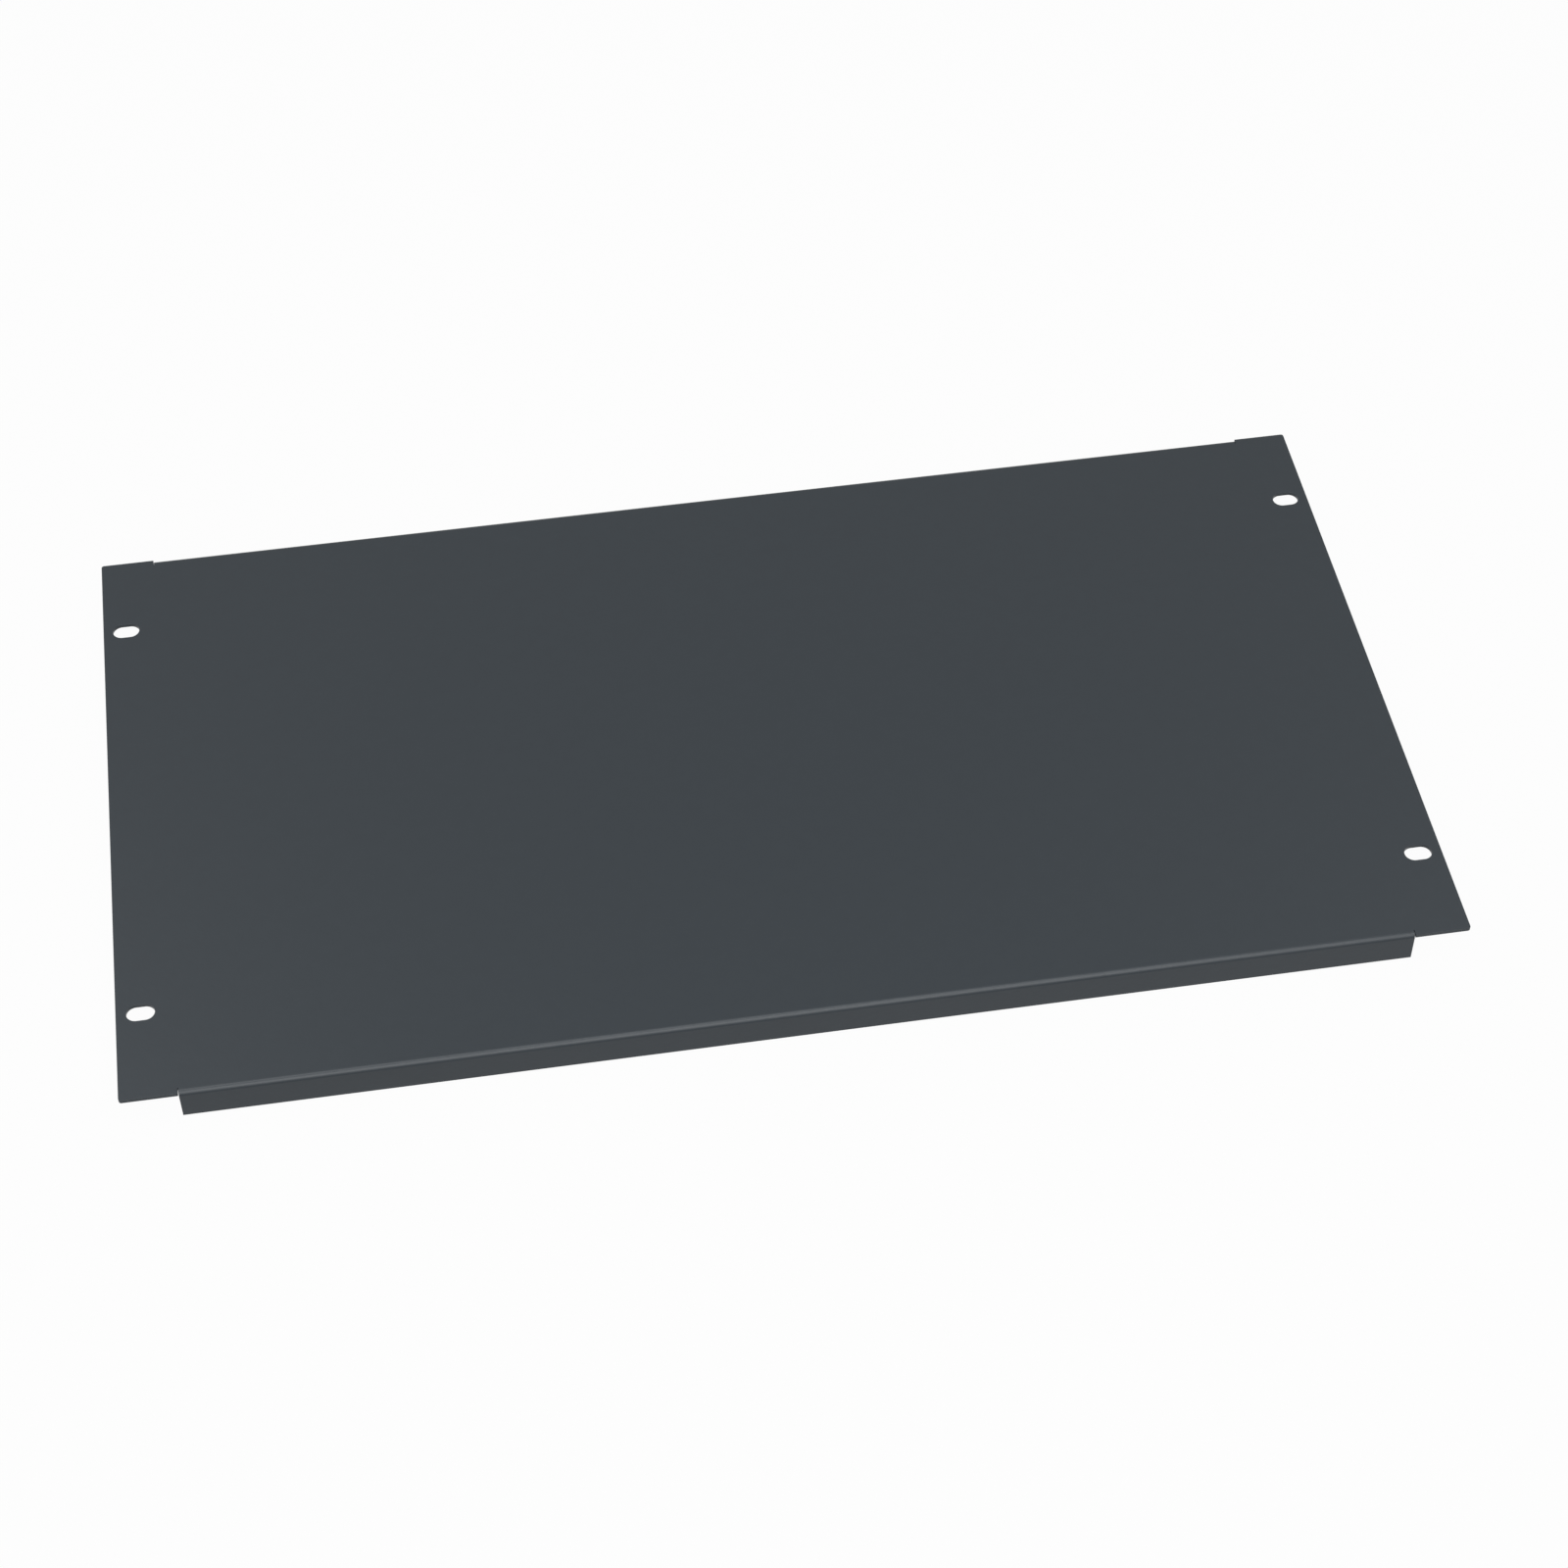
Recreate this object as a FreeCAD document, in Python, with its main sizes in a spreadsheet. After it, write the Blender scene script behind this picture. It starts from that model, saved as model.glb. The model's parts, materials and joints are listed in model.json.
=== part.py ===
import FreeCAD, Part

import math
import os

import Sketcher

# A rack blanking panel: one steel sheet with a flange folded back along each long edge.
#
# The panel lies face up on the free edges of its two flanges, as it rests on a bench.
# X runs across the panel from side to side, Y runs up its height and Z points out of
# the front face. The origin is under the middle of the face, on the bench.
# All sizes are in millimetres.

NODE = "blanking_panel"

# Alias, value and meaning of each driving dimension.
SIZES = [
    ("panel_width", 482.6, "side edge to side edge, with both ears"),
    ("rack_units", 6, "height of the panel in rack units"),
    ("unit_pitch", 44.45, "height of one rack unit"),
    ("panel_gap", 0.79, "height left free between two panels in a rack"),
    ("sheet_thickness", 1.52, "16 gauge steel"),
    ("inside_bend_radius", 0.4, "inside of each fold"),
    ("flange_depth", 12.7, "front face to the free edge of a flange"),
    ("ear_width", 20.65, "side edge to the end of the flanges"),
    ("corner_radius", 1.0, "outer corners of the ears"),
    ("relief_width", 0.2, "slit that frees each end of a fold"),
    ("relief_past_bend", 0.5, "start of the bend to the bottom of a slit"),
    ("slot_length", 10.2, "end to end, along X"),
    ("slot_width", 7.1, "across, along Y"),
    ("slot_to_side_edge", 8.75, "middle of a slot to the side edge"),
    ("slot_to_long_edge", 37.705, "middle of a slot to the nearer long edge"),
]

# Two lengths that are closer than this are the same.
TOLERANCE = 1e-6

# Places and sizes that follow from the driving dimensions.
PANEL_HEIGHT = "(Sizes.rack_units * Sizes.unit_pitch - Sizes.panel_gap)"
HALF_WIDTH = "Sizes.panel_width / 2"
HALF_HEIGHT = f"{PANEL_HEIGHT} / 2"
BEND_LINE = f"({HALF_HEIGHT} - Sizes.inside_bend_radius - Sizes.sheet_thickness)"
FOLD_LENGTH = "(Sizes.panel_width - 2 * Sizes.ear_width)"
FOLD_END = f"{FOLD_LENGTH} / 2"
SLIT_SIDE = f"{FOLD_END} + Sizes.relief_width"
SLOT_CENTRES = "(Sizes.slot_length - Sizes.slot_width)"
SLOT_X = f"({HALF_WIDTH} - Sizes.slot_to_side_edge)"
SLOT_Y = f"({HALF_HEIGHT} - Sizes.slot_to_long_edge)"

# Names for the parts of sketch geometry that constraints refer to, and for a solver
# that has met them all.
START, END, CENTRE = 1, 2, 3
HORIZONTAL_AXIS, VERTICAL_AXIS = -1, -2
ORIGIN = (HORIZONTAL_AXIS, START)
SOLVED = 0

UP = FreeCAD.Vector(0, 0, 1)
TOP, LEFT, BOTTOM = math.pi / 2, math.pi, 3 * math.pi / 2


def add_sizes(doc):
    """The spreadsheet of driving dimensions."""
    sheet = doc.addObject("Spreadsheet::Sheet", "Sizes")
    for row, (alias, value, meaning) in enumerate(SIZES, start=1):
        sheet.set(f"A{row}", alias)
        sheet.set(f"B{row}", str(value))
        sheet.setAlias(f"B{row}", alias)
        sheet.set(f"C{row}", meaning)
    doc.recompute()
    return sheet


def origin_feature(body, role):
    """One of the body's own origin planes or axes."""
    for feature in body.Origin.OriginFeatures:
        if feature.Role == role:
            return feature
    raise ValueError(f"no {role} in {body.Name}")


def add_sketch(body, name, plane):
    """An empty sketch on one of the body's origin planes."""
    sketch = body.newObject("Sketcher::SketchObject", name)
    sketch.AttachmentSupport = (origin_feature(body, plane), "")
    sketch.MapMode = "FlatFace"
    return sketch


def add_face_sketch(body, name):
    """An empty sketch on the panel's front face."""
    sketch = add_sketch(body, name, "XY_Plane")
    sketch.setExpression("AttachmentOffset.Base.z", "Sizes.flange_depth")
    return sketch


def add_lines(sketch, corners):
    """A closed outline of straight lines, each joined to the next."""
    count = len(corners)
    for index in range(count):
        line = Part.LineSegment(corners[index], corners[(index + 1) % count])
        sketch.addGeometry(line, False)
    for index in range(count):
        join(sketch, "Coincident", (index, END), ((index + 1) % count, START))


def add_arc(sketch, centre, radius, first, last):
    """An arc that runs anticlockwise from one angle to the other."""
    circle = Part.Circle(centre, UP, radius)
    return sketch.addGeometry(Part.ArcOfCircle(circle, first, last), False)


def join(sketch, kind, first, second):
    """Tie one point of the sketch to another."""
    sketch.addConstraint(Sketcher.Constraint(kind, *first, *second))


def constrain(sketch, kind, *references):
    """Constrain lines and points without a size."""
    sketch.addConstraint(Sketcher.Constraint(kind, *references))


def dimension(sketch, kind, name, expression, *references):
    """A named size in the sketch, bound to an expression on the driving dimensions."""
    value = sketch.evalExpression(expression)
    index = sketch.addConstraint(Sketcher.Constraint(kind, *references, value))
    sketch.renameConstraint(index, name)
    sketch.setExpression(f"Constraints.{name}", expression)


def point(sketch, across, up):
    """A sketch point whose coordinates are two expressions."""
    return FreeCAD.Vector(sketch.evalExpression(across), sketch.evalExpression(up), 0)


def face_plate(body):
    """The flat face with its two ears, over the panel's whole width and height."""
    sketch = add_face_sketch(body, "FaceOutline")
    corners = [
        point(sketch, f"-{HALF_WIDTH}", f"-{HALF_HEIGHT}"),
        point(sketch, HALF_WIDTH, f"-{HALF_HEIGHT}"),
        point(sketch, HALF_WIDTH, HALF_HEIGHT),
        point(sketch, f"-{HALF_WIDTH}", HALF_HEIGHT),
    ]
    add_lines(sketch, corners)
    near, right, far, left = range(4)
    constrain(sketch, "Horizontal", near)
    constrain(sketch, "Vertical", right)
    constrain(sketch, "Horizontal", far)
    constrain(sketch, "Vertical", left)
    constrain(sketch, "Symmetric", near, START, far, START, *ORIGIN)
    dimension(sketch, "DistanceX", "width", "Sizes.panel_width", near, START, near, END)
    dimension(sketch, "DistanceY", "height", PANEL_HEIGHT, right, START, right, END)

    plate = body.newObject("PartDesign::Pad", "FacePlate")
    plate.Profile = sketch
    plate.Reversed = True
    plate.setExpression("Length", "Sizes.sheet_thickness")
    return plate


def round_corners(body, plate):
    """Round the four outer corners of the ears, seen from the front."""
    upright = [
        f"Edge{number}"
        for number, edge in enumerate(plate.Shape.Edges, start=1)
        if math.isclose(edge.BoundBox.ZLength, edge.Length, abs_tol=TOLERANCE)
    ]
    corners = body.newObject("PartDesign::Fillet", "EarCorners")
    corners.Base = (plate, upright)
    corners.setExpression("Radius", "Sizes.corner_radius")
    return corners


def fold_strip(body):
    """Cut the strip that a flange is folded from, with a relief slit at each end.

    The strip starts at the bend line. The slits are cut on a little further, so that
    the fold can start without tearing the ears.
    """
    sketch = add_face_sketch(body, "FoldStripOutline")
    slit_bottom = f"Sizes.relief_past_bend - {BEND_LINE}"
    corners = [
        point(sketch, f"-({SLIT_SIDE})", f"-{HALF_HEIGHT}"),
        point(sketch, SLIT_SIDE, f"-{HALF_HEIGHT}"),
        point(sketch, SLIT_SIDE, slit_bottom),
        point(sketch, FOLD_END, slit_bottom),
        point(sketch, FOLD_END, f"-{BEND_LINE}"),
        point(sketch, f"-{FOLD_END}", f"-{BEND_LINE}"),
        point(sketch, f"-{FOLD_END}", slit_bottom),
        point(sketch, f"-({SLIT_SIDE})", slit_bottom),
    ]
    add_lines(sketch, corners)
    edge, right_ear, right_slit, right_end, bend, left_end, left_slit, left_ear = range(8)
    for line in (right_ear, right_end, left_end, left_ear):
        constrain(sketch, "Vertical", line)
    for line in (right_slit, left_slit):
        constrain(sketch, "Horizontal", line)
    for line in (edge, bend):
        constrain(sketch, "Symmetric", line, START, line, END, VERTICAL_AXIS)
    constrain(sketch, "Horizontal", right_slit, START, left_slit, END)
    dimension(sketch, "DistanceX", "slit_side", SLIT_SIDE, *ORIGIN, edge, END)
    dimension(sketch, "DistanceX", "fold_end", FOLD_END, *ORIGIN, bend, START)
    dimension(sketch, "DistanceY", "long_edge", HALF_HEIGHT, edge, END, *ORIGIN)
    dimension(sketch, "DistanceY", "bend_line", BEND_LINE, bend, START, *ORIGIN)
    dimension(sketch, "DistanceY", "slit_depth", "Sizes.relief_past_bend", bend, START, right_slit, END)

    strip = body.newObject("PartDesign::Pocket", "FoldStrip")
    strip.Profile = sketch
    strip.Type = "ThroughAll"
    return strip


def flange(body):
    """The near flange: a quarter turn from the bend line, then straight to its free edge.

    Both sides of the bend share one centre, so the sheet keeps its thickness round it.
    """
    sketch = add_sketch(body, "FlangeProfile", "YZ_Plane")
    inside = sketch.evalExpression("Sizes.inside_bend_radius")
    outside = sketch.evalExpression("Sizes.inside_bend_radius + Sizes.sheet_thickness")
    bend_height = "Sizes.flange_depth - Sizes.inside_bend_radius - Sizes.sheet_thickness"
    inner_face = f"Sizes.sheet_thickness - {HALF_HEIGHT}"
    centre = point(sketch, f"-{BEND_LINE}", bend_height)
    outer_top = point(sketch, f"-{HALF_HEIGHT}", bend_height)
    outer_foot = point(sketch, f"-{HALF_HEIGHT}", "0")
    inner_foot = point(sketch, inner_face, "0")
    inner_top = point(sketch, inner_face, bend_height)
    under_face = point(sketch, f"-{BEND_LINE}", "Sizes.flange_depth - Sizes.sheet_thickness")
    front_face = point(sketch, f"-{BEND_LINE}", "Sizes.flange_depth")

    outer_bend = add_arc(sketch, centre, outside, TOP, LEFT)
    outer_side = sketch.addGeometry(Part.LineSegment(outer_top, outer_foot), False)
    foot = sketch.addGeometry(Part.LineSegment(outer_foot, inner_foot), False)
    inner_side = sketch.addGeometry(Part.LineSegment(inner_foot, inner_top), False)
    inner_bend = add_arc(sketch, centre, inside, TOP, LEFT)
    section = sketch.addGeometry(Part.LineSegment(under_face, front_face), False)

    join(sketch, "Tangent", (outer_bend, END), (outer_side, START))
    join(sketch, "Coincident", (outer_side, END), (foot, START))
    join(sketch, "Coincident", (foot, END), (inner_side, START))
    join(sketch, "Tangent", (inner_bend, END), (inner_side, END))
    join(sketch, "Coincident", (inner_bend, START), (section, START))
    join(sketch, "Coincident", (section, END), (outer_bend, START))
    join(sketch, "Coincident", (outer_bend, CENTRE), (inner_bend, CENTRE))
    for line in (outer_side, inner_side, section):
        constrain(sketch, "Vertical", line)
    constrain(sketch, "Horizontal", foot)
    constrain(sketch, "Vertical", outer_bend, START, outer_bend, CENTRE)
    constrain(sketch, "PointOnObject", foot, START, HORIZONTAL_AXIS)
    dimension(sketch, "Radius", "inside_bend", "Sizes.inside_bend_radius", inner_bend)
    dimension(sketch, "DistanceX", "thickness", "Sizes.sheet_thickness", foot, START, foot, END)
    dimension(sketch, "DistanceX", "outer_face", HALF_HEIGHT, foot, START, *ORIGIN)
    dimension(sketch, "DistanceY", "depth", "Sizes.flange_depth", *ORIGIN, section, END)

    fold = body.newObject("PartDesign::Pad", "Flange")
    fold.Profile = sketch
    fold.SideType = "Symmetric"
    fold.setExpression("Length", FOLD_LENGTH)
    return fold


def far_flange(body, strip, fold):
    """The same fold along the far edge."""
    mirrored = body.newObject("PartDesign::Mirrored", "FarFlange")
    mirrored.Originals = [strip, fold]
    mirrored.MirrorPlane = (origin_feature(body, "XZ_Plane"), [""])
    body.Tip = mirrored
    return mirrored


def rail_slot(body):
    """The mounting slot nearest the lower left corner: round ends, long way across."""
    sketch = add_face_sketch(body, "SlotOutline")
    radius = sketch.evalExpression("Sizes.slot_width / 2")
    left_centre = point(sketch, f"-{SLOT_X} - {SLOT_CENTRES} / 2", f"-{SLOT_Y}")
    right_centre = point(sketch, f"-{SLOT_X} + {SLOT_CENTRES} / 2", f"-{SLOT_Y}")
    side = FreeCAD.Vector(0, radius, 0)

    lower = sketch.addGeometry(Part.LineSegment(left_centre - side, right_centre - side), False)
    right_end = add_arc(sketch, right_centre, radius, BOTTOM, TOP + 2 * math.pi)
    upper = sketch.addGeometry(Part.LineSegment(right_centre + side, left_centre + side), False)
    left_end = add_arc(sketch, left_centre, radius, TOP, BOTTOM)
    ring = [lower, right_end, upper, left_end]
    for first, second in zip(ring, ring[1:] + ring[:1]):
        join(sketch, "Tangent", (first, END), (second, START))
    constrain(sketch, "Horizontal", lower)
    constrain(sketch, "Equal", left_end, right_end)
    dimension(sketch, "Radius", "end_radius", "Sizes.slot_width / 2", left_end)
    dimension(sketch, "DistanceX", "centres", SLOT_CENTRES, left_end, CENTRE, right_end, CENTRE)
    dimension(
        sketch, "DistanceX", "from_middle", f"{SLOT_X} - {SLOT_CENTRES} / 2", right_end, CENTRE, *ORIGIN
    )
    dimension(sketch, "DistanceY", "below_middle", SLOT_Y, left_end, CENTRE, *ORIGIN)

    slot = body.newObject("PartDesign::Pocket", "RailSlot")
    slot.Profile = sketch
    slot.Type = "ThroughAll"
    return slot


def rail_slots(body, slot):
    """Two slots in each ear, on the hole rows of the rack's rails."""
    pattern = body.newObject("PartDesign::LinearPattern", "RailSlots")
    pattern.Originals = [slot]
    pattern.Direction = (origin_feature(body, "X_Axis"), [""])
    pattern.Mode = "Extent"
    pattern.setExpression("Length", f"2 * {SLOT_X}")
    pattern.Occurrences = 2
    pattern.Direction2 = (origin_feature(body, "Y_Axis"), [""])
    pattern.Mode2 = "Extent"
    pattern.setExpression("Length2", f"2 * {SLOT_Y}")
    pattern.Occurrences2 = 2
    body.Tip = pattern
    return pattern


def build_panel(doc):
    """The whole panel, in the order that it is cut and folded."""
    body = doc.addObject("PartDesign::Body", "BlankingPanel")
    body.Label = NODE
    body.Placement = FreeCAD.Placement()
    plate = face_plate(body)
    doc.recompute()
    round_corners(body, plate)
    strip = fold_strip(body)
    fold = flange(body)
    doc.recompute()
    far_flange(body, strip, fold)
    doc.recompute()
    slot = rail_slot(body)
    doc.recompute()
    rail_slots(body, slot)
    doc.recompute()
    return body


def check_document(doc):
    """Stop if any object of the document failed to build."""
    for item in doc.Objects:
        failed = [state for state in item.State if state in ("Invalid", "Error")]
        if failed:
            raise RuntimeError(f"{item.Name} failed to build: {failed}")


def check_sketches(doc):
    """Stop if any sketch is left with freedom, or holds conflicting constraints."""
    for sketch in doc.findObjects("Sketcher::SketchObject"):
        if sketch.solve() != SOLVED or not sketch.FullyConstrained:
            raise RuntimeError(f"{sketch.Name} isn't fully constrained")


def check_panel(doc, body):
    """Stop unless the panel is one valid solid of the size that its sheet has."""
    shape = body.Shape
    if shape.isNull() or not shape.isValid() or len(shape.Solids) != 1:
        raise RuntimeError("the panel is not one valid solid")
    box = shape.BoundBox
    expected = (
        doc.Sizes.panel_width,
        doc.Sizes.evalExpression(PANEL_HEIGHT),
        doc.Sizes.flange_depth,
    )
    for length, wanted in zip((box.XLength, box.YLength, box.ZLength), expected):
        if not math.isclose(length, wanted, abs_tol=TOLERANCE):
            raise RuntimeError(f"the panel measures {length:.3f} where it should be {wanted:.3f}")


def main():
    doc = FreeCAD.newDocument("rack_blanking_panel")
    add_sizes(doc)
    body = build_panel(doc)
    check_document(doc)
    check_sketches(doc)
    check_panel(doc, body)

    os.makedirs("parts", exist_ok=True)
    body.Shape.exportStep(f"parts/{body.Label}.step")
    box = body.Shape.BoundBox
    print(f"{body.Label}: {box.XLength:.2f} x {box.YLength:.2f} x {box.ZLength:.2f} mm")
    print(f"volume {body.Shape.Volume:.1f} mm3, {len(body.Shape.Faces)} faces")


main()
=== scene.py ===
# %% [markdown]
# # A rack blanking panel
#
# A blanking panel closes an empty place in an equipment rack. The real one is a single
# piece of steel sheet: a laser or a punch cuts its outline and its four slots, a press
# folds a shallow flange back along each long edge, and the whole piece is powder coated.
#
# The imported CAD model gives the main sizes. This lesson dresses it: the same sheet is
# modelled again with smoother folds and softened edges, and gets its coating, a floor,
# studio light and a camera.

import json
import math

import bmesh
import bpy
from mathutils import Matrix, Vector


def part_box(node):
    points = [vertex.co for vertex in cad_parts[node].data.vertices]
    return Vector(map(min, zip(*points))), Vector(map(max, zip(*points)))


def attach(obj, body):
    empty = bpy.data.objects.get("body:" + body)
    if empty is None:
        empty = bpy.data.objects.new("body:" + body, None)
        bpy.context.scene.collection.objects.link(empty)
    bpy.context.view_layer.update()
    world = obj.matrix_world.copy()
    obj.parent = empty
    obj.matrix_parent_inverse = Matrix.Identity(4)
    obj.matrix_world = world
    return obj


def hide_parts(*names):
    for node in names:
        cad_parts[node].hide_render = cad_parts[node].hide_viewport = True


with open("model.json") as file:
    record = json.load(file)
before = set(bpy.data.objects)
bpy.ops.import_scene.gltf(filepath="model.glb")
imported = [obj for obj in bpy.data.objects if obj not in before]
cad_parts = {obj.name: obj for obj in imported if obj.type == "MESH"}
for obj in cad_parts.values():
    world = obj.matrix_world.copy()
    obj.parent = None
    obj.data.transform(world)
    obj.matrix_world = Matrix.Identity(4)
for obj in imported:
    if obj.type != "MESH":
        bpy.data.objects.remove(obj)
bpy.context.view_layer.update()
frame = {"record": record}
NODE = "blanking_panel"
MM = 0.001

low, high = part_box(NODE)
size = high - low
print("CAD box in mm:", [round(length / MM, 2) for length in size])

# %% [markdown]
# ## Sizes
#
# A piece that stands for a CAD node has to measure the same, so its sizes are read from
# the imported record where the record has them. The slotted bolt pattern gives the slots,
# and the two rail seats lie on the back of the ears: their height gives the thickness
# of the sheet, and their distance from the middle gives the width of an ear.
# Only the fold, the relief slits at its ends and the rounding of the corners are stated
# here.

# %% Read the sheet's sizes
record = frame["record"]
mounts = {mount["name"]: mount for mount in record["mounts"]}
slots = mounts["rail_slots"]["dims"]
seat = Vector(mounts["right_rail_seat"]["pos_m"])

HALF_WIDTH = high.x
HALF_HEIGHT = high.y
FRONT = high.z
THICKNESS = FRONT - seat.z
EAR_WIDTH = 2 * (HALF_WIDTH - seat.x)
SLOT_RADIUS = slots["hole_r_mm"] * MM
SLOT_LENGTH = slots["slot_length_mm"] * MM
SLOT_X = slots["spacing_x_mm"] * MM / 2
SLOT_Y = slots["spacing_y_mm"] * MM / 2

INSIDE_BEND = 0.4 * MM      # a tight fold, made on a narrow V tool
CORNER_RADIUS = 1.0 * MM    # the ears' outer corners, eased so that they do not catch a hand
RELIEF_WIDTH = 0.2 * MM     # a laser's cut
RELIEF_PAST_BEND = 0.5 * MM

OUTSIDE_BEND = INSIDE_BEND + THICKNESS
BEND_LINE = HALF_HEIGHT - OUTSIDE_BEND
FOLD_END = HALF_WIDTH - EAR_WIDTH
SLIT_SIDE = FOLD_END + RELIEF_WIDTH
SLIT_BOTTOM = BEND_LINE - RELIEF_PAST_BEND
print(f"sheet {THICKNESS / MM:.2f} mm, ears {EAR_WIDTH / MM:.2f} mm")
print(f"each fold is {2 * FOLD_END / MM:.1f} mm long")

# %% [markdown]
# ## Small helpers
#
# An operator works on whatever is selected, and loading the frame leaves the CAD node
# selected. So each step deselects first, and then picks vertices, edges or faces by
# where they are. Positions are compared with a tolerance of a hundredth of a millimetre.

# %% Selection helpers
NEAR = 0.01 * MM


def start_editing(piece):
    """Make this the only selected object, and go into edit mode."""
    bpy.ops.object.select_all(action="DESELECT")
    piece.select_set(True)
    bpy.context.view_layer.objects.active = piece
    bpy.ops.object.mode_set(mode="EDIT")


def stop_editing():
    """Go back to object mode."""
    bpy.ops.object.mode_set(mode="OBJECT")


def choose(piece, element, wanted):
    """In edit mode, select only the vertices, edges or faces whose middle passes the test."""
    kind = {"VERT": "verts", "EDGE": "edges", "FACE": "faces"}[element]
    bpy.ops.mesh.select_mode(type=element)
    bpy.ops.mesh.select_all(action="DESELECT")
    mesh = bmesh.from_edit_mesh(piece.data)
    chosen = 0
    for part in getattr(mesh, kind):
        corners = [part] if element == "VERT" else part.verts
        middle = sum((corner.co for corner in corners), Vector()) / len(corners)
        part.select = wanted(middle)
        chosen += part.select
    mesh.select_flush_mode()
    bmesh.update_edit_mesh(piece.data)
    return chosen


def at(value, place):
    """Whether two positions along one axis are the same."""
    return abs(value - place) < NEAR


def apply_modifier(piece, name, kind, **settings):
    """Add a modifier with its settings, and apply it."""
    modifier = piece.modifiers.new(name, kind)
    for key, value in settings.items():
        setattr(modifier, key, value)
    bpy.context.view_layer.objects.active = piece
    bpy.ops.object.modifier_apply(modifier=name)


# %% [markdown]
# ## The flat blank
#
# A sheet-metal part is easiest to think of as a surface that gets its thickness last.
# So the start is a plane at the height of the front face. It is cut along the ends of
# the folds and the sides of the relief slits, and the slits fall out. The small radius
# on the outer corners is a bevel of the four corner vertices.

# %% Cut the blank
CORNER_SEGMENTS = 6

bpy.ops.object.select_all(action="DESELECT")
# At a size of 2 the plane reaches 1 either way, so half a size is also its scale.
bpy.ops.mesh.primitive_plane_add(size=2, location=(0, 0, 0))
panel = bpy.context.object
panel.name = "folded_sheet"
panel.data.name = "folded_sheet"

start_editing(panel)
bpy.ops.transform.resize(value=(HALF_WIDTH, HALF_HEIGHT, 1))
bpy.ops.transform.translate(value=(0, 0, FRONT))


def cut_across(point, normal):
    """Cut every face where this plane meets it."""
    bpy.ops.mesh.select_all(action="SELECT")
    bpy.ops.mesh.bisect(plane_co=point, plane_no=normal)


for side in (-1, 1):
    cut_across((side * FOLD_END, 0, 0), (1, 0, 0))
    cut_across((side * SLIT_SIDE, 0, 0), (1, 0, 0))
    cut_across((0, side * SLIT_BOTTOM, 0), (0, 1, 0))


def in_relief_slit(middle):
    return FOLD_END < abs(middle.x) < SLIT_SIDE and abs(middle.y) > SLIT_BOTTOM


slits = choose(panel, "FACE", in_relief_slit)
bpy.ops.mesh.delete(type="FACE")
corners = choose(panel, "VERT", lambda v: at(abs(v.x), HALF_WIDTH) and at(abs(v.y), HALF_HEIGHT))
bpy.ops.mesh.bevel(offset=CORNER_RADIUS, segments=CORNER_SEGMENTS, affect="VERTICES")
print("relief slits cut:", slits, "- corners rounded:", corners)

# %% [markdown]
# ## The folds
#
# The press turns the metal through a quarter circle. Here the long edges between the
# slits are extruded down by the depth of the flange, which leaves a sharp fold, and the
# fold is bevelled by the outside radius. With the bevel's round profile, that is the
# same arc as the press makes. Sixteen segments keep its highlight smooth.

# %% Fold the flanges
FOLD_SEGMENTS = 16
ROUND = 0.5                   # the bevel profile that is a true arc
FLAT = math.radians(1)        # faces that meet at less than this are one face


def on_fold(middle):
    return at(abs(middle.y), HALF_HEIGHT) and at(middle.z, FRONT) and abs(middle.x) < FOLD_END


choose(panel, "EDGE", on_fold)
bpy.ops.mesh.extrude_edges_move(TRANSFORM_OT_translate={"value": (0, 0, low.z - FRONT)})
folds = choose(panel, "EDGE", on_fold)
bpy.ops.mesh.bevel(offset=OUTSIDE_BEND, segments=FOLD_SEGMENTS, profile=ROUND, affect="EDGES")

bpy.ops.mesh.select_all(action="SELECT")
bpy.ops.mesh.normals_make_consistent(inside=False)
bpy.ops.mesh.dissolve_limited(angle_limit=FLAT)
stop_editing()
print("folds bevelled:", folds, "- faces:", len(panel.data.polygons))

# %% [markdown]
# ## Thickness
#
# Solidify grows the wall behind the front surface. Its even offset keeps the metal one
# thickness all the way round the fold, so the inside radius comes out by itself.

# %% Give the sheet its thickness
front_face = max(panel.data.polygons, key=lambda face: face.area)
if front_face.normal.z < 0:
    start_editing(panel)
    bpy.ops.mesh.select_all(action="SELECT")
    bpy.ops.mesh.flip_normals()
    stop_editing()
apply_modifier(panel, "Thickness", "SOLIDIFY", thickness=THICKNESS, offset=-1, use_even_offset=True)
print("box in mm:", [round(length / MM, 3) for length in panel.dimensions])

# %% [markdown]
# ## The rail slots
#
# The punch leaves a slot with round ends, wider than high, so that the screw can find
# the rail's hole. A cylinder pulled apart in the middle has that outline. It is made
# once, copied to the four places, and cut out of the sheet with a Boolean.

# %% Punch the slots
SLOT_VERTICES = 96
PUNCH_DEPTH = 4 * THICKNESS


def slot_punch():
    """A tall obround at the middle of the panel."""
    bpy.ops.object.select_all(action="DESELECT")
    bpy.ops.mesh.primitive_cylinder_add(
        vertices=SLOT_VERTICES, radius=SLOT_RADIUS, depth=PUNCH_DEPTH, location=(0, 0, 0)
    )
    punch = bpy.context.object
    start_editing(punch)
    for side in (-1, 1):
        choose(punch, "VERT", lambda v: v.x * side > NEAR)
        bpy.ops.transform.translate(value=(side * (SLOT_LENGTH / 2 - SLOT_RADIUS), 0, 0))
    stop_editing()
    return punch


punch = slot_punch()
for x in (-SLOT_X, SLOT_X):
    for y in (-SLOT_Y, SLOT_Y):
        cutter = punch.copy()
        cutter.data = punch.data.copy()
        cutter.data.transform(Matrix.Translation((x, y, FRONT)))
        bpy.context.scene.collection.objects.link(cutter)
        apply_modifier(
            panel, "Slot", "BOOLEAN", object=cutter, operation="DIFFERENCE", solver="EXACT"
        )
        bpy.data.objects.remove(cutter)
bpy.data.objects.remove(punch)
print("faces with the slots cut:", len(panel.data.polygons))

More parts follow.
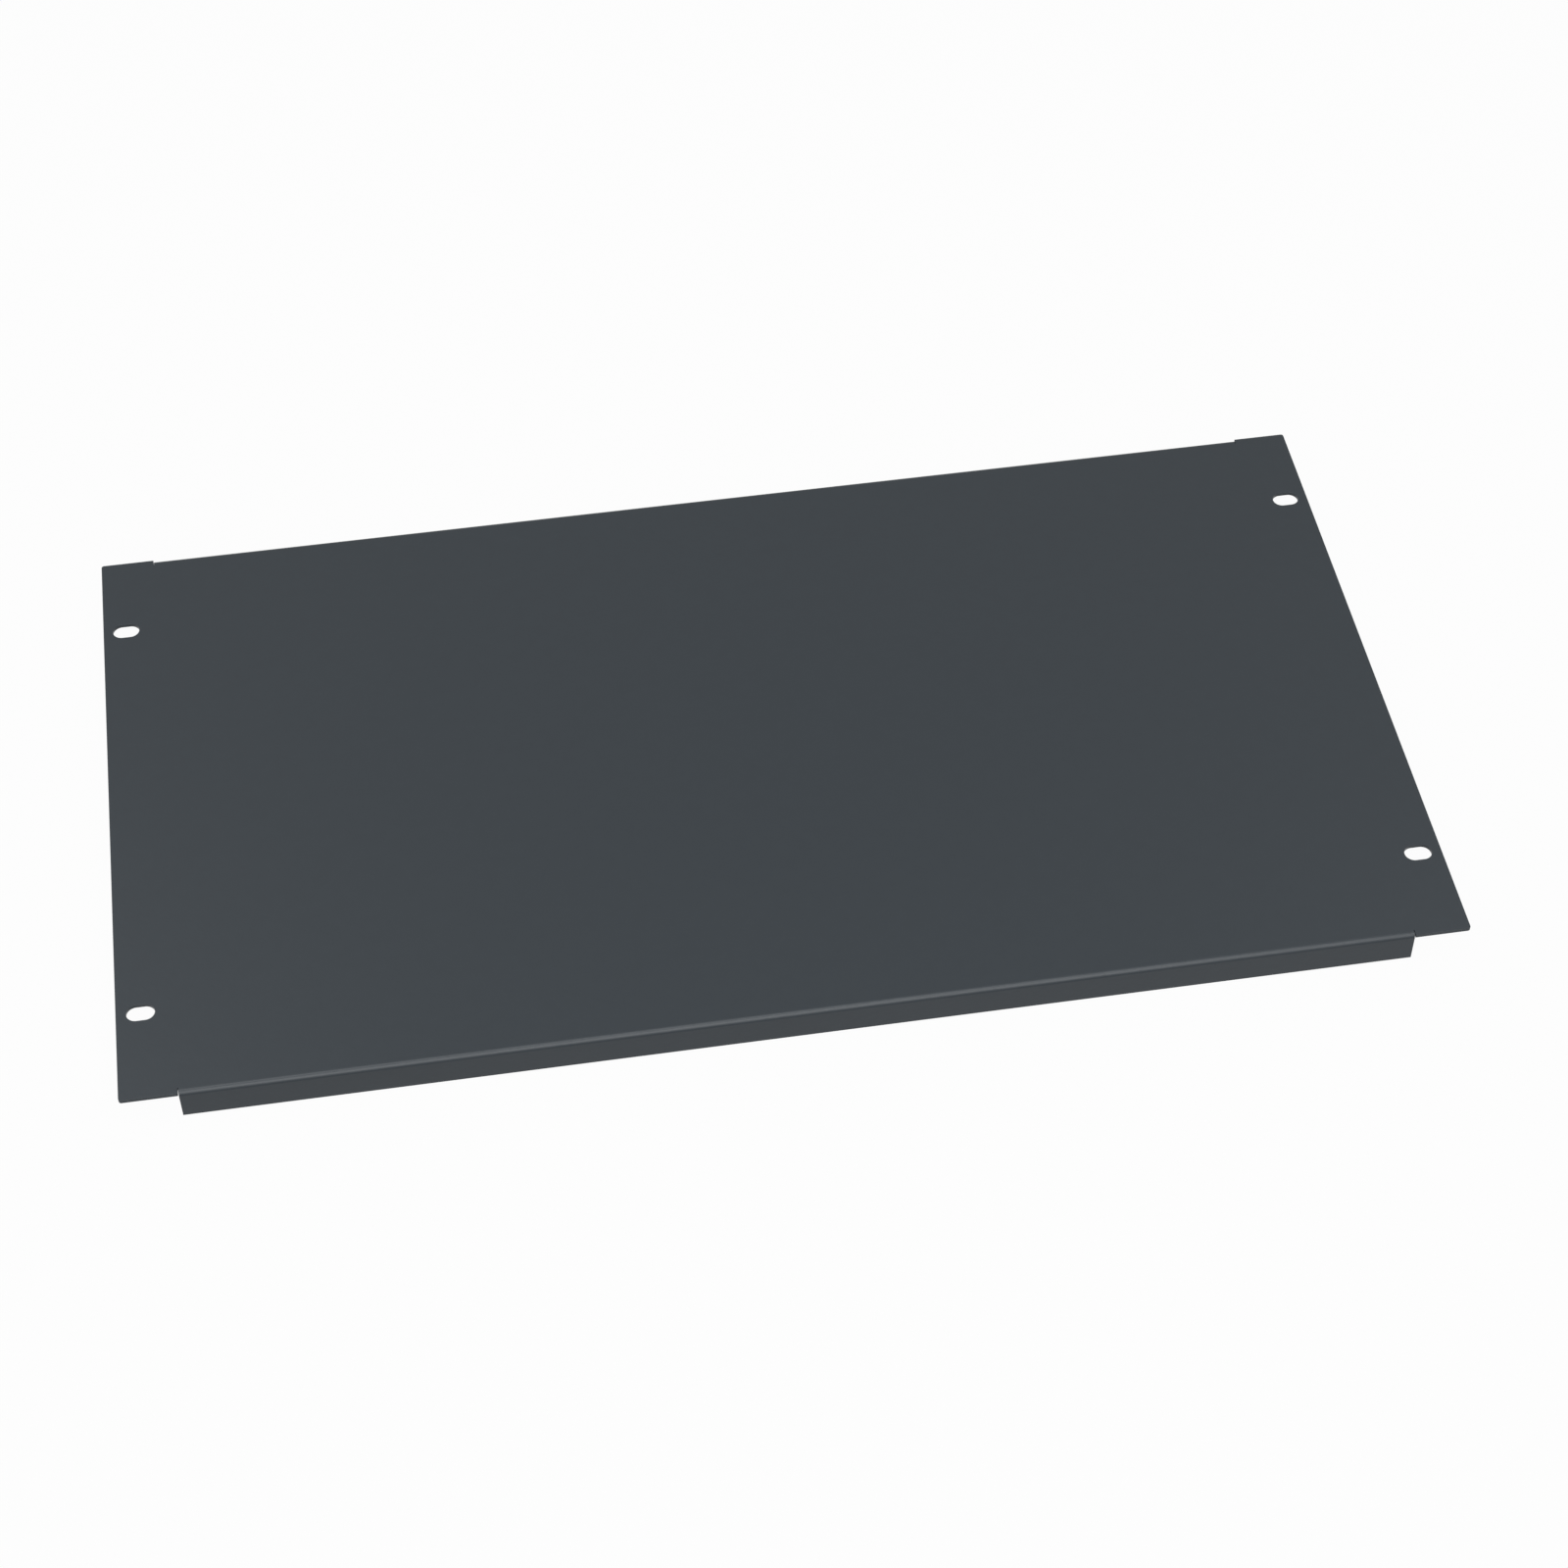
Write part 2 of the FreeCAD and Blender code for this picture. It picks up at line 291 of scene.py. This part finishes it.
# %% [markdown]
# ## Softened edges
#
# Powder melts and flows before it sets. It draws back from a sharp edge and leaves it
# rounded by about the thickness of the film. A narrow bevel on every sharp edge makes
# that rounding as real geometry. The weighted normals that follow keep the big faces
# perfectly flat in the shading, right up to the folds and the bevels.

# %% Soften the cut edges
FILM_ROUNDING = 0.08 * MM
FILM_SEGMENTS = 3
SHARP = math.radians(50)      # the folds' facets meet at far less, the cut edges at 90 degrees

apply_modifier(
    panel,
    "Film",
    "BEVEL",
    width=FILM_ROUNDING,
    segments=FILM_SEGMENTS,
    limit_method="ANGLE",
    angle_limit=SHARP,
)
bpy.ops.object.select_all(action="DESELECT")
panel.select_set(True)
bpy.context.view_layer.objects.active = panel
bpy.ops.object.shade_smooth_by_angle(angle=SHARP)
apply_modifier(
    panel, "Flat faces", "WEIGHTED_NORMAL", mode="FACE_AREA", weight=100, keep_sharp=True
)

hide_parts(NODE)
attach(panel, "root")
print("finished sheet in mm:", [round(length / MM, 3) for length in panel.dimensions])

# %% [markdown]
# ## The coating
#
# The finish is a fine matte powder coat in charcoal. Powder sprayed on and
# baked never lies quite flat: it keeps a faint orange peel, in waves of two or three
# millimetres, and a grain of the melted particles. The eye reads that as a dull,
# slightly soft sheen. The film is a little thicker in some places than in others, which
# shifts the pigment by no more than a shade.

# %% Material helpers
def linear(hex_colour):
    """An sRGB hex colour as linear red, green, blue and alpha."""
    channels = [int(hex_colour[start:start + 2], 16) / 255 for start in (1, 3, 5)]
    return [c / 12.92 if c <= 0.04045 else ((c + 0.055) / 1.055) ** 2.4 for c in channels] + [1.0]


def add_node(tree, kind, inputs=None, links=None, **settings):
    """Add a shader node: its settings, the values of its inputs, and what feeds them."""
    node = tree.nodes.new(kind)
    for key, value in settings.items():
        setattr(node, key, value)
    for socket, value in (inputs or {}).items():
        node.inputs[socket].default_value = value
    for socket, source in (links or {}).items():
        tree.links.new(source, node.inputs[socket])
    return node


# Where a Mix node keeps its factor, its two colours and its result.
MIX_FACTOR, MIX_FIRST, MIX_SECOND = 0, 6, 7
MIX_RESULT = 2


def new_material(name):
    """A material with an empty node tree, and that tree."""
    material = bpy.data.materials.new(name)
    material.use_nodes = True
    material.node_tree.nodes.clear()
    return material, material.node_tree


# %% Charcoal powder coat
DARK_PIGMENT = "#182026"
LIGHT_PIGMENT = "#1c242a"
CLOUD_SIZE = 6 * MM      # thinner and thicker places in the film
PEEL_SIZE = 2.5 * MM     # one wave of the orange peel
GRAIN_SIZE = 0.7 * MM    # coarser than the real powder's 0.05 mm, so that it still shows
PEEL_DEPTH = 0.06 * MM
GRAIN_DEPTH = 0.02 * MM
BUMP_STRENGTH = 0.5      # half of each depth, for a coat that looks flat from a metre away


def powder_coat():
    """Matte charcoal powder coat: soft broad sheen, orange peel and grain in the bump."""
    material, tree = new_material("powder_coat_charcoal_matte")
    place = add_node(tree, "ShaderNodeTexCoord").outputs["Object"]
    cloud = add_node(
        tree,
        "ShaderNodeTexNoise",
        {"Scale": 1 / CLOUD_SIZE, "Detail": 3.0, "Roughness": 0.6},
        {"Vector": place},
    )
    colour = add_node(
        tree,
        "ShaderNodeMix",
        {MIX_FIRST: linear(DARK_PIGMENT), MIX_SECOND: linear(LIGHT_PIGMENT)},
        {MIX_FACTOR: cloud.outputs["Fac"]},
        data_type="RGBA",
    )
    peel = add_node(
        tree,
        "ShaderNodeTexNoise",
        {"Scale": 1 / PEEL_SIZE, "Detail": 2.0, "Roughness": 0.5},
        {"Vector": place},
    )
    grain = add_node(
        tree,
        "ShaderNodeTexNoise",
        {"Scale": 1 / GRAIN_SIZE, "Detail": 1.0, "Roughness": 0.5},
        {"Vector": place},
    )
    peel_bump = add_node(
        tree,
        "ShaderNodeBump",
        {"Strength": BUMP_STRENGTH, "Distance": PEEL_DEPTH},
        {"Height": peel.outputs["Fac"]},
    )
    grain_bump = add_node(
        tree,
        "ShaderNodeBump",
        {"Strength": BUMP_STRENGTH, "Distance": GRAIN_DEPTH},
        {"Height": grain.outputs["Fac"], "Normal": peel_bump.outputs["Normal"]},
    )
    surface = add_node(
        tree,
        "ShaderNodeBsdfPrincipled",
        {"Roughness": 0.36, "IOR": 1.5, "Specular IOR Level": 0.375},
        {"Base Color": colour.outputs[MIX_RESULT], "Normal": grain_bump.outputs["Normal"]},
    )
    add_node(tree, "ShaderNodeOutputMaterial", links={"Surface": surface.outputs["BSDF"]})
    return material


panel.data.materials.clear()
panel.data.materials.append(powder_coat())
print("material:", panel.data.materials[0].name)

# %% [markdown]
# ## Floor and surroundings
#
# The panel lies on a plain white floor in a white studio. To the camera and to
# reflections the surroundings are plain white at strength 1, and their light on the
# panel is set apart from that. The floor is nearly plain white to the camera too, and
# the rest of it is real paper, which takes the panel's faint shadow. The paper is a middle
# grey, so that it throws little light back up at the near flange.

# %% Floor and world
SEEN_WHITE = 0.97     # the share of the floor that is plain white to the camera
FLOOR_PAPER = "#9c9c9c"
FLOOR_SIDE = 12       # metres, so that its far edge hardly shows, even from low down
WHITE = "#ffffff"


def white_floor():
    """Grey paper that the camera and reflections see as nearly plain white."""
    material, tree = new_material("studio_floor_white")
    rays = add_node(tree, "ShaderNodeLightPath")
    seen = add_node(
        tree,
        "ShaderNodeMath",
        {1: SEEN_WHITE},
        {0: rays.outputs["Is Camera Ray"]},
        operation="MULTIPLY",
    )
    seen = add_node(
        tree,
        "ShaderNodeMath",
        links={0: seen.outputs["Value"], 1: rays.outputs["Is Glossy Ray"]},
        operation="MAXIMUM",
    )
    seen = add_node(
        tree,
        "ShaderNodeMath",
        links={0: seen.outputs["Value"], 1: rays.outputs["Is Transmission Ray"]},
        operation="MAXIMUM",
    )
    paper = add_node(tree, "ShaderNodeBsdfDiffuse", {"Color": linear(FLOOR_PAPER)})
    glow = add_node(tree, "ShaderNodeEmission", {"Color": linear(WHITE), "Strength": 1.0})
    blend = add_node(
        tree,
        "ShaderNodeMixShader",
        links={"Fac": seen.outputs["Value"], 1: paper.outputs["BSDF"], 2: glow.outputs["Emission"]},
    )
    add_node(tree, "ShaderNodeOutputMaterial", links={"Surface": blend.outputs["Shader"]})
    return material


bpy.ops.object.select_all(action="DESELECT")
bpy.ops.mesh.primitive_plane_add(size=FLOOR_SIDE, location=(0, 0, low.z))
floor = bpy.context.object
floor.name = "studio_floor"
floor.data.materials.append(white_floor())

WORLD_STRENGTH = 0.1


def white_surroundings():
    """A dim white light on the panel, seen as plain white by the camera and reflections."""
    world = bpy.data.worlds.new("studio_white")
    world.use_nodes = True
    tree = world.node_tree
    tree.nodes.clear()
    rays = add_node(tree, "ShaderNodeLightPath")
    seen = add_node(
        tree,
        "ShaderNodeMath",
        links={0: rays.outputs["Is Camera Ray"], 1: rays.outputs["Is Glossy Ray"]},
        operation="MAXIMUM",
    )
    seen = add_node(
        tree,
        "ShaderNodeMath",
        links={0: seen.outputs["Value"], 1: rays.outputs["Is Transmission Ray"]},
        operation="MAXIMUM",
    )
    lighting = add_node(
        tree, "ShaderNodeBackground", {"Color": linear(WHITE), "Strength": WORLD_STRENGTH}
    )
    plain = add_node(tree, "ShaderNodeBackground", {"Color": linear(WHITE), "Strength": 1.0})
    blend = add_node(
        tree,
        "ShaderNodeMixShader",
        links={
            "Fac": seen.outputs["Value"],
            1: lighting.outputs["Background"],
            2: plain.outputs["Background"],
        },
    )
    add_node(tree, "ShaderNodeOutputWorld", links={"Surface": blend.outputs["Shader"]})
    return world


bpy.context.scene.world = white_surroundings()
bpy.context.scene.view_settings.view_transform = "Standard"

# %% [markdown]
# ## Light
#
# Four wide softboxes stand in an arc in front of the near edge: one overhead, one above
# the camera, one behind the camera and a low one. The near fold turns through a quarter
# circle, so it mirrors the whole arc as one soft bright band. The face mirrors only the
# white studio behind the panel. Three weak softboxes stand high up beyond its far edge,
# and their sheen lifts its near half and its two near corners a little.

# %% Lamps
def softbox(name, place, width, depth, power):
    """A rectangular area lamp of so many watts, turned to face the middle of the panel."""
    lamp = bpy.data.lights.new(name, "AREA")
    lamp.shape = "RECTANGLE"
    lamp.size = width
    lamp.size_y = depth
    lamp.energy = power
    holder = bpy.data.objects.new(name, lamp)
    holder.location = place
    holder.rotation_mode = "QUATERNION"
    holder.rotation_quaternion = (-Vector(place)).to_track_quat("-Z", "Y")
    bpy.context.scene.collection.objects.link(holder)


softbox("softbox_above", (-0.1, -0.2, 1.5), width=2.2, depth=0.5, power=14.0)
softbox("softbox_front", (-0.1, -1.2, 1.5), width=2.2, depth=0.5, power=16.0)
softbox("softbox_near", (-0.1, -1.7, 1.1), width=2.2, depth=0.5, power=18.0)
softbox("softbox_low", (-0.1, -1.9, 0.45), width=2.2, depth=0.5, power=6.0)
softbox("softbox_far", (0.0, 0.5, 1.5), width=2.0, depth=0.4, power=2.0)
softbox("softbox_far_left", (-0.7, 0.9, 1.5), width=0.5, depth=0.5, power=1.5)
softbox("softbox_far_right", (0.9, 0.6, 1.5), width=0.5, depth=0.5, power=1.2)
print("lamps:", sorted(lamp.name for lamp in bpy.data.lights))

# %% [markdown]
# ## Camera
#
# The camera stands a little to the left of the panel, in front of its near edge, and
# looks down at it from a bit over 48 degrees through a fairly long lens.

# %% Camera
VIEW_AZIMUTH = math.radians(-8.7175)
VIEW_ELEVATION = math.radians(48.2491)
VIEW_ROLL = math.radians(-0.3683)
VIEW_DISTANCE = 1.2439
VIEW_AIM = Vector((0.0083, -0.02495, FRONT))
LENS_MM = 76.42

back = Vector((
    math.sin(VIEW_AZIMUTH) * math.cos(VIEW_ELEVATION),
    -math.cos(VIEW_AZIMUTH) * math.cos(VIEW_ELEVATION),
    math.sin(VIEW_ELEVATION),
))
camera = bpy.data.objects.new("camera", bpy.data.cameras.new("camera"))
camera.data.lens = LENS_MM
camera.location = VIEW_AIM + back * VIEW_DISTANCE
level = (-back).to_track_quat("-Z", "Y").to_matrix()
camera.rotation_euler = (level @ Matrix.Rotation(VIEW_ROLL, 3, "Z")).to_euler()
bpy.context.scene.collection.objects.link(camera)
bpy.context.scene.camera = camera
print("camera at", [round(value, 4) for value in camera.location])
